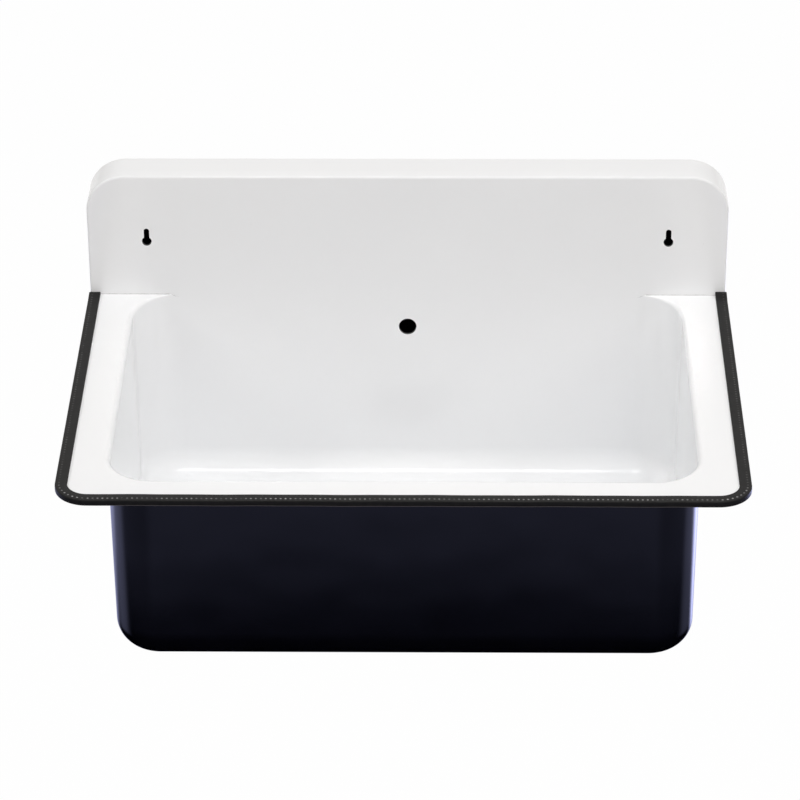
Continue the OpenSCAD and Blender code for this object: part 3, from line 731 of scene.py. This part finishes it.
def trim_plastic(finish, shape):
    """Soft black plastic with a fine grain, and the row of small bumps that the steel clips press up, each with a
    painted highlight. Painted light pales the lower outer edge.
    """
    made, add, shader, where = material("trim plastic")
    # the piece's UV map holds how far along the trim and round its section a point lies, in metres
    along, around = add.split(add("ShaderNodeUVMap", uv_map="run").outputs[0])[:2]
    corners = trim_section(shape)[1]
    upper_edge, lower_edge = float(corners[12]), float(corners[17])
    # each clip's bump is an oval on the top, one to each clip, with a painted highlight that is paler along the front
    step = add.maths("FRACT", add.maths("MULTIPLY", along, 1.0 / shape.t.clip_pitch))
    lengthwise = add.maths("DIVIDE", add.maths("SUBTRACT", step, 0.5), 0.26)
    across = add.maths("DIVIDE", add.maths("SUBTRACT", around, upper_edge - 0.0029), 0.0009)
    oval = add.remap(add.hypot(across, lengthwise), 1.0, 0.5, smooth=True)
    front = shape.trim_axis[1]
    clip_bump_and_highlight = add.maths("MULTIPLY", oval, add.remap(add.split(where)[1], front, front - 0.012, 0.2, 1.0))
    # the lower outer edge is painted paler: painted light from below
    low = add.maths("ABSOLUTE", add.maths("SUBTRACT", around, lower_edge))
    lower_edge_painted_light = add.remap(low, 0.0009, 0.0003, smooth=True)
    cloud = mottled(add, where, 240.0)
    base = add.mix(cloud, tone(finish.trim), tone(finish.trim, 1.7))
    # painted highlight: each clip's bump is mixed towards pale grey
    clip_highlighted = add.mix(add.maths("MULTIPLY", clip_bump_and_highlight, mottled(add, where, 130.0)), base, (0.34, 0.34, 0.34, 1))
    add.link(add.mix(lower_edge_painted_light, clip_highlighted, (0.11, 0.1, 0.105, 1)), shader["Base Color"])
    add.link(add.remap(cloud, 0.0, 1.0, 0.38, 0.52), shader["Roughness"])
    shader["Specular IOR Level"].default_value = 0.17
    grain = relief(add, where, (90.0, 0.00005), (1500.0, 0.00001))
    bump(add, shader, add.maths("MULTIPLY_ADD", clip_bump_and_highlight, 0.0001, grain))
    return made


def plain(name, base, rough, metallic=0.0, skin=(400.0, 0.000003), spread=1.25):
    """A finish whose colour and roughness drift a little, over a fine relief."""
    made, add, shader, where = material(name)
    cloud = mottled(add, where, 70.0)
    add.link(add.mix(cloud, tone(base), tone(base, spread)), shader["Base Color"])
    add.link(add.remap(cloud, 0.0, 1.0, rough * 0.85, rough * 1.2), shader["Roughness"])
    shader["Metallic"].default_value = metallic
    bump(add, shader, relief(add, where, (60.0, 0.00002), skin))
    return made


def finishes(context):
    """The materials by name, made on first use."""
    if "white enamel" not in bpy.data.materials:
        finish, shape = context.scene.sink_finish, Shape(context.scene)
        white_enamel(finish, shape)
        navy_enamel(finish)
        trim_plastic(finish, shape)
        plain("chrome plate", finish.chrome, 0.12, metallic=1.0, spread=1.06)
        plain("rubber", finish.rubber, 0.5, skin=(900.0, 0.000006), spread=1.8)
        plain("brass", finish.brass, 0.28, metallic=1.0)
        plain("steel strip", finish.steel, 0.35, metallic=1.0)
    return bpy.data.materials


def dress_node(name, finish):
    """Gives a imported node's object its finish."""
    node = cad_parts[name]
    node.data.materials.clear()
    node.data.materials.append(finish)


class SINK_OT_basin(Operator):
    """Make the basin's pressed sheet"""

    bl_idname = "sink.basin"
    bl_label = "Basin"

    def execute(self, context):
        shape, look = Shape(context.scene), finishes(context)
        points, faces = basin_surface(shape)
        piece = build("basin_sheet", points, faces, [look["white enamel"], look["navy enamel"]], "sink", "basin")
        sharpen(piece, 50)
        thicken(piece, shape.s.sheet)
        return {"FINISHED"}


class SINK_OT_splashback(Operator):
    """Make the splashback's pressed sheet"""

    bl_idname = "sink.splashback"
    bl_label = "Splashback"

    def execute(self, context):
        shape, look = Shape(context.scene), finishes(context)
        points, faces = splash_surface(shape)
        enamels = [look["white enamel"], look["navy enamel"]]
        piece = build("splashback_sheet", points, faces, enamels, "sink", "splashback")
        sharpen(piece, 50)
        # the flat face is shaded flat
        facing = np.zeros(len(piece.data.polygons) * 3)
        piece.data.polygons.foreach_get("normal", facing)
        piece.data.polygons.foreach_set("use_smooth", facing.reshape(-1, 3)[:, 1] > -0.999999)
        thicken(piece, shape.s.sheet)
        return {"FINISHED"}


class SINK_OT_trim(Operator):
    """Make the edge trim and finish the strip inside it"""

    bl_idname = "sink.trim"
    bl_label = "Edge Trim"

    def execute(self, context):
        shape, look = Shape(context.scene), finishes(context)
        points, faces, along, around = trim_surface(shape)
        piece = build("edge_trim_channel", points, faces, [look["trim plastic"]], "sink", "edge_trim", merge=1e-7,
                      turn=True)
        mesh = piece.data
        uv = mesh.uv_layers.new(name="run")
        loops = np.zeros(len(mesh.loops), dtype=np.int32)
        mesh.loops.foreach_get("vertex_index", loops)
        place = np.stack(np.broadcast_arrays(along[:, None], around[None, :]), axis=-1).reshape(-1, 2)
        uv.data.foreach_set("uv", place[loops].astype(np.float32).ravel())
        sharpen(piece, 50)
        dress_node("trim_core", look["steel strip"])
        return {"FINISHED"}


class SINK_OT_waste(Operator):
    """Make the waste's flange, body and seals, and finish its screw"""

    bl_idname = "sink.waste"
    bl_label = "Waste"

    def execute(self, context):
        shape, look = Shape(context.scene), finishes(context)
        w, n, c = shape.w, shape.w.segments, shape.drain
        plate = [look["chrome plate"]]
        # the bars end inside the wall, and the screw goes through their bosses
        half, bar_height, root, boss = w.bar / 2, 0.0025, 0.0008, 0.006
        cup, outer, rim = w.throat / 2, w.throat / 2 + w.cup_wall, w.flange / 2
        top, low, end = shape.flange_top, shape.flange, shape.cup_end
        outline = rounded([(cup, end), (outer, end), (outer, low), (rim, low), (rim, top), (cup + w.seat_flare, top),
                           (cup, top - w.seat_height)], [0.0003, 0.0003, 0.0004, 0.0012, 0.0018, 0.0005, 0.0008])
        points, faces = joined(turned(outline, c, n),
                               turned(band(0.0033, boss, end, end + 0.005, [0.0002, 0.0006, 0.0006, 0.0002]), c, 48),
                               bar(c, cup + root, half, end, end + bar_height),
                               bar(c, half, cup + root, end, end + bar_height))
        flange = build("waste_flange_cup", points, faces, plate, "sink", "waste_flange", turn=True)
        # the lower cup, from the foot of its tail up to its rim below the recess, and back down inside
        room, overlap, rim_height = 0.0005, 0.008, 0.003
        bore_cup, rim_r = outer + room, shape.s.drain_hole / 2 + overlap
        wide = bore_cup + w.body_wall
        bore, tail = w.tail_bore / 2, w.tail / 2
        neck = tail - 0.0016
        top, base, tail_top = shape.body_top, shape.body_floor, shape.tail_top
        tail_end = tail_top - w.tail_height
        outline = rounded([(bore, tail_end), (neck, tail_end), (neck, tail_top), (wide, base),
                           (wide, top - rim_height), (rim_r, top - rim_height), (rim_r, top), (bore_cup, top),
                           (bore_cup, base), (bore, tail_top)],
                          [0.0004, 0.0004, 0.001, 0.002, 0.0015, 0.0006, 0.0006, 0.0004, 0.002, 0.002])
        foot = tail_top - bar_height
        hub = band(0.00305, boss, foot, tail_top + 0.0045, [0.0001, 0.0006, 0.0006, 0.0001])
        points, faces = joined(turned(outline, c, n), bar(c, bore + root, half, foot, tail_top), turned(hub, c, 48),
                               thread(shape, tail_end + 0.0008, tail_top - 0.0012, tail))
        body = build("waste_body_cup", points, faces, plate, "sink", "waste_body", turn=True)
        for name, z, inner, edge in (("flange_seal", shape.recess, shape.s.drain_hole / 2 - 0.003, rim),
                                     ("body_seal", top, bore_cup + room, rim_r)):
            outline = band(inner, edge, z, z + w.seal, [0.0004, 0.0007, 0.0007, 0.0004])
            seal = build(name + "_ring", *turned(outline, c, n), [look["rubber"]], "sink", name, turn=True)
        dress_node("waste_screw", look["brass"])
        for piece in (flange, body):
            sharpen(piece)
        return {"FINISHED"}


def thread(shape, low, high, crest):
    """The tail's thread as a sleeve: its radius falls from the crest by the depth times how far the place
    z / pitch - a / (2 pi) lies from a whole number, and it fades out at both ends."""
    depth, fading, hidden = 0.0013, 0.0015, 0.002
    a = np.arange(64) * 2 * np.pi / 64
    z = np.linspace(low, high, 97)
    turn = z[:, None] / shape.w.pitch - a / (2 * np.pi)
    wave = np.abs(turn - np.round(turn)) * 2
    fade = ease((z - low) / fading) * ease((high - z) / fading)
    r = crest - depth + depth * ease(1.25 * wave - 0.1) * fade[:, None]
    # both ends close inwards, inside the tail
    r = np.pad(r, ((1, 1), (0, 0)), constant_values=crest - hidden)
    z = np.pad(z, 1, mode="edge")[:, None]
    points = np.stack(np.broadcast_arrays(shape.drain[0] + r * np.cos(a), shape.drain[1] + r * np.sin(a), z), axis=-1)
    return points.reshape(-1, 3), grid_quads(len(z) + 1, 64, closed=True) % (len(z) * 64)


class SINK_OT_plug(Operator):
    """Make the plug, its eye and its pull ring"""

    bl_idname = "sink.plug"
    bl_label = "Plug"

    def execute(self, context):
        shape, look = Shape(context.scene), finishes(context)
        w, n, c = shape.w, shape.w.segments, shape.drain
        top, end, flange_top = shape.plug_top, shape.plug_end, shape.flange_top
        # the rubber's side follows the seat at a small distance, and its head lies over the flange
        room, stem = 0.0003, 0.0022
        slope = w.seat_flare / w.seat_height
        foot = w.throat / 2 - room * np.sqrt(1 + slope**2)
        neck, head = foot + w.seat_flare + room * slope, w.throat / 2 + w.seat_flare + 0.0012
        outline = rounded([(stem, end), (foot, end), (foot, flange_top - w.seat_height), (neck, flange_top + room),
                           (head, flange_top + room), (head, top), (stem, top)],
                          [0.0002, 0.0012, 0.001, 0.0003, 0.0006, 0.0016, 0.0002])
        plug = build("plug_rubber", *turned(outline, c, n), [look["rubber"]], "plug", "plug", turn=True)
        sharpen(plug)
        # the eye: a rivet through the rubber with a neck and a loop that stands across
        e = shape.eye
        rivet = rounded([(0.0, end - 0.0012), (0.0045, end - 0.0012), (0.0045, end), (stem, end), (stem, top),
                         (0.005, top), (0.005, top + 0.001), (0.0016, top + 0.001), (0.0, top + 0.001)],
                        [0, 0.0006, 0.0004, 0.0001, 0.0001, 0.0003, 0.0006, 0.0001, 0])
        loop, quads = turned(band(0.0015, 0.0035, -0.0012, 0.0012, [0.0007] * 4), (0, 0), 40)
        loop = loop[:, [2, 0, 1]] + (*c, e)
        points, faces = joined(turned(rivet, c, 48), (loop, quads), bar(c, 0.0012, 0.0033, top + 0.0006, e - 0.0019))
        eye = build("plug_eye_metal", points, faces, [look["chrome plate"]], "plug", "plug_eye", turn=True)
        # the ring goes through the eye and lies forward until it nearly touches the plug
        wire = w.wire / 2
        lie = np.arcsin((e - top - wire - room) / w.ring)
        b = np.arange(20) * 2 * np.pi / 20
        circle = np.stack([w.ring / 2 + wire * np.cos(b), wire * np.sin(b)], axis=1)
        flat, quads = turned(circle, (0, -w.ring / 2), 72)
        x, y, z = flat.T
        points = np.stack([x, y * np.cos(lie) - z * np.sin(lie), y * np.sin(lie) + z * np.cos(lie)], axis=1)
        ring = build("plug_ring_wire", points + (*c, e), quads, [look["chrome plate"]], "ring", "plug_ring", turn=True)
        return {"FINISHED"}


def stage_finish(name, base):
    """A stage finish that is left out where its back shows. Returns the material, its node adder and its paint."""
    made = bpy.data.materials.new(name)
    made.use_nodes = True
    made.node_tree.nodes.clear()
    add = Nodes(made.node_tree)
    return made, add, add("ShaderNodeBsdfDiffuse", {"Color": (*base, 1)}).outputs[0]


def close_finish(made, add, paint):
    """Ends a stage finish with the paint in front and nothing behind."""
    behind = add("ShaderNodeNewGeometry").outputs["Backfacing"]
    mixed = add("ShaderNodeMixShader", {0: behind, 1: paint, 2: add("ShaderNodeBsdfTransparent").outputs[0]}).outputs[0]
    add.link(mixed, add("ShaderNodeOutputMaterial").inputs[0])
    return made


def pale_floor():
    """Floor that is plain white to the camera but for a trace of its shadow. In reflections it is a dark mat below the
    sink, paler in front of it, to both sides and far behind."""
    made, add, paint = stage_finish("pale floor", (0.8, 0.8, 0.8))
    path = add("ShaderNodeLightPath").outputs
    shown = add.maths("ADD", path["Is Camera Ray"], path["Is Transmission Ray"], clamp=True)
    white = add("ShaderNodeEmission", {"Color": (1, 1, 1, 1), "Strength": 1.0}).outputs[0]
    seen = add("ShaderNodeMixShader", {0: add.maths("MULTIPLY", shown, 0.985), 1: paint, 2: white}).outputs[0]
    x, y, _ = add.split(add("ShaderNodeTexCoord").outputs["Object"])
    side = add.maths("ABSOLUTE", x)

    def ramp(value, low, high, top):
        """Rises from 0 to a top, eased."""
        return add.remap(value, low, high, 0.0, top, smooth=True)

    # a pale oval ring in front, patches to both sides and a stronger one behind
    away = add.hypot(add.maths("MULTIPLY", x, 0.93), add.maths("ADD", y, 0.2))
    ring = add.maths("MULTIPLY", ramp(away, 1.2, 1.37, 0.46), add.maths("SUBTRACT", 1.0, ramp(side, 0.3, 0.9, 0.4)))
    aside = add.maths("MULTIPLY", ramp(side, 0.9, 1.25, 1.0), ramp(y, -0.45, -0.05, add.remap(x, -0.5, 0.5, 0.55, 0.4)))
    behind = add.maths("MULTIPLY", ramp(y, 0.35, 0.7, 1.0), add.maths("ADD", ramp(x, 0.5, 0.9, 3.6), 0.8))
    glow = add.maths("ADD", add.maths("ADD", ring, aside), behind)
    # far behind, where only the returns' corners look, it is plain pale
    distant = ramp(y, 1.4, 1.8, 1.0)
    hue = add.mix(distant, (0.58, 0.61, 1.0, 1), (1.0, 0.995, 0.985, 1))
    mat = add("ShaderNodeEmission", {"Color": hue, "Strength": add.remap(distant, 0.0, 1.0, glow, 1.0)}).outputs[0]
    whole = add("ShaderNodeMixShader", {0: path["Is Glossy Ray"], 1: seen, 2: mat}).outputs[0]
    return close_finish(made, add, whole)


def card(name, corners, finish):
    """A flat four-cornered stage card."""
    mesh = bpy.data.meshes.new(name)
    mesh.from_pydata(corners, [], [(0, 1, 2, 3)])
    mesh.materials.append(finish)
    made = bpy.data.objects.new(name, mesh)
    bpy.context.scene.collection.objects.link(made)
    return made


def stand(made, right, up, ahead, place):
    """Puts a lamp or a camera at a place, looking along ahead, with right and up as its other axes."""
    matrix = np.eye(4)
    matrix[:3] = np.stack([right, up, -ahead, place], axis=1)
    made.matrix_world = Matrix(matrix.tolist())
    bpy.context.scene.collection.objects.link(made)


def lamp(name, place, aim, size, power, tint=(1.0, 0.982, 0.964), shine=False):
    """A soft rectangular light at a place, turned towards a point. Without shine it gives no reflections."""
    data = bpy.data.lights.new(name, "AREA")
    data.shape = "RECTANGLE"
    data.size, data.size_y = size
    data.energy = power
    data.color = tint
    made = bpy.data.objects.new(name, data)
    towards = np.subtract(aim, place)
    towards /= np.linalg.norm(towards)
    side = np.cross(towards, (0, 1, 0) if abs(towards[2]) > 0.7 else (0, 0, 1))
    side /= np.linalg.norm(side)
    stand(made, side, np.cross(side, towards), towards, place)
    made.visible_glossy = shine
    return made


def studio(scene, finish):
    """A world of even light that is white to the camera and has its own strength in reflections."""
    world = bpy.data.worlds.new("studio")
    scene.world = world
    world.use_nodes = True
    world.node_tree.nodes.clear()
    add = Nodes(world.node_tree)
    path = add("ShaderNodeLightPath").outputs
    shown = add.maths("ADD", path["Is Camera Ray"], path["Is Transmission Ray"], clamp=True)
    level = add.maths("MULTIPLY_ADD", path["Is Glossy Ray"], finish.shine - finish.sky, finish.sky)
    soft = add("ShaderNodeBackground", {"Color": (1.0, 0.977, 0.954, 1), "Strength": level}).outputs[0]
    white = add("ShaderNodeBackground", {"Color": (1, 1, 1, 1), "Strength": 1.0}).outputs[0]
    mixed = add("ShaderNodeMixShader", {0: shown, 1: soft, 2: white}).outputs[0]
    add.link(mixed, add("ShaderNodeOutputWorld").inputs[0])


def lights(finish):
    """One lamp overhead that shows in reflections and soft fills that don't."""
    shine = lamp("overhead", (-0.04, 0.23, 2.0), (-0.04, 0.23, 0.0), (0.6, 1.0), finish.lamp, (1, 1, 1), shine=True)
    shine.visible_diffuse = False
    fill = finish.fill
    lamp("high_fill", (0.0, -1.6, 2.0), (0.0, -0.15, -0.2), (1.6, 0.8), 12.6 * fill, (0.93, 0.953, 0.964))
    lamp("top_fill", (0.0, -0.85, 2.0), (0.0, -0.2, -0.2), (1.2, 0.6), 8.1 * fill)
    lamp("right_high_fill", (0.9, -1.3, 2.0), (0.0, -0.2, -0.2), (0.8, 0.8), 7.7 * fill)
    lamp("front_fill", (0.5, -3.2, 1.0), (0.0, -0.1, -0.15), (2.4, 1.6), 8.0 * fill, (1.0, 0.884, 0.81))
    lamp("left_fill", (-2.0, -0.6, 1.4), (0.0, -0.2, -0.2), (0.8, 0.8), 12.0 * fill)
    lamp("right_fill", (2.0, -0.6, 1.4), (0.0, -0.2, -0.2), (0.8, 0.8), 12.0 * fill)
    narrow = lamp("bowl_fill", (0.0, -0.19, 0.9), (0.0, -0.19, -0.3), (0.36, 0.2), 0.045 * fill)
    narrow.data.spread = np.radians(14)
    # two weak beams that reach down into the bowl's ends and miss the rim
    for label, side, power in (("left", -1, 0.004), ("right", 1, 0.008)):
        place, aim = (side * -0.1, -0.12, 0.9), (side * 0.206, -0.12, -0.16)
        lamp(label + "_end_fill", place, aim, (0.05, 0.13), power * fill).data.spread = np.radians(6)


def viewpoint(scene, shape):
    """The camera of the photograph's view: it looks at a target on the rim, down by its tilt, turned by its turn and
    rolled by its roll, from a distance."""
    tilt, turn, roll, distance = 0.5236, -0.0157, -0.0052, 2.81328
    target = np.array([-0.00396, -0.16 + shape.face, -0.00494 + shape.rim])
    ahead = np.array([np.sin(turn) * np.cos(tilt), np.cos(turn) * np.cos(tilt), -np.sin(tilt)])
    right = np.array([np.cos(turn), -np.sin(turn), 0.0])
    up = np.cross(right, ahead)
    right, up = right * np.cos(roll) + up * np.sin(roll), up * np.cos(roll) - right * np.sin(roll)
    data = bpy.data.cameras.new("camera")
    data.sensor_width, data.lens, data.clip_end = 36.0, 165.9, 50.0
    camera = bpy.data.objects.new("camera", data)
    stand(camera, right, up, ahead, target - distance * ahead)
    scene.camera = camera


class SINK_OT_stage(Operator):
    """Set up the floor, the light and the camera"""

    bl_idname = "sink.stage"
    bl_label = "Stage"

    def execute(self, context):
        scene = context.scene
        z, far = -0.95, 9.0
        card("floor", [(-far, -far, z), (far, -far, z), (far, far, z), (-far, far, z)], pale_floor())
        # dark cards on the wall plane, seen only by the camera, close the view through the holes: painted shade of a
        # wall behind them
        dark = close_finish(*stage_finish("painted shade card", (0.004, 0.004, 0.005)))
        y, keyholes = -0.0006, (0.034, -0.103, -0.03)
        for label, x, (half, low, high) in (("left", -0.207, keyholes), ("middle", 0.0, (0.04, -0.215, -0.12)),
                                            ("right", 0.207, keyholes)):
            left, right = x - half, x + half
            corners = [(left, y, low), (right, y, low), (right, y, high), (left, y, high)]
            behind = card("painted_shade_" + label, corners, dark)
            behind.visible_glossy = behind.visible_diffuse = behind.visible_shadow = False
        studio(scene, scene.sink_finish)
        lights(scene.sink_finish)
        viewpoint(scene, Shape(scene))
        scene.view_settings.view_transform = "Standard"
        return {"FINISHED"}


class SINK_PT_panel(Panel):
    """Lists the pieces' operators and sizes"""

    bl_label = "Bucket Sink"
    bl_idname = "SINK_PT_panel"
    bl_space_type = "VIEW_3D"
    bl_region_type = "UI"
    bl_category = "Sink"

    def draw(self, context):
        for operator in PIECES:
            self.layout.operator(operator.bl_idname)
        for group_name in GROUPS:
            box = self.layout.box()
            values = getattr(context.scene, group_name)
            for key in values.bl_rna.properties.keys():
                if key not in ("rna_type", "name"):
                    box.prop(values, key)


GROUPS = {"sink_sheet": SinkSheet, "sink_trim": SinkTrim, "sink_waste": SinkWaste, "sink_finish": SinkFinish}
PIECES = [SINK_OT_basin, SINK_OT_splashback, SINK_OT_trim, SINK_OT_waste, SINK_OT_plug, SINK_OT_stage]


def register():
    """Makes the classes and the scene's sizes known."""
    for kind in [*GROUPS.values(), *PIECES, SINK_PT_panel]:
        bpy.utils.register_class(kind)
    for name, kind in GROUPS.items():
        setattr(bpy.types.Scene, name, PointerProperty(type=kind))


def unregister():
    """Takes them away again."""
    for name in GROUPS:
        delattr(bpy.types.Scene, name)
    for kind in reversed([*GROUPS.values(), *PIECES, SINK_PT_panel]):
        bpy.utils.unregister_class(kind)


def main():
    """Makes the pieces and the stage in order."""
    register()
    bpy.ops.sink.basin()
    bpy.ops.sink.splashback()
    bpy.ops.sink.trim()
    bpy.ops.sink.waste()
    bpy.ops.sink.plug()
    bpy.ops.sink.stage()
    bpy.context.view_layer.update()


if __name__ == "__main__":
    main()
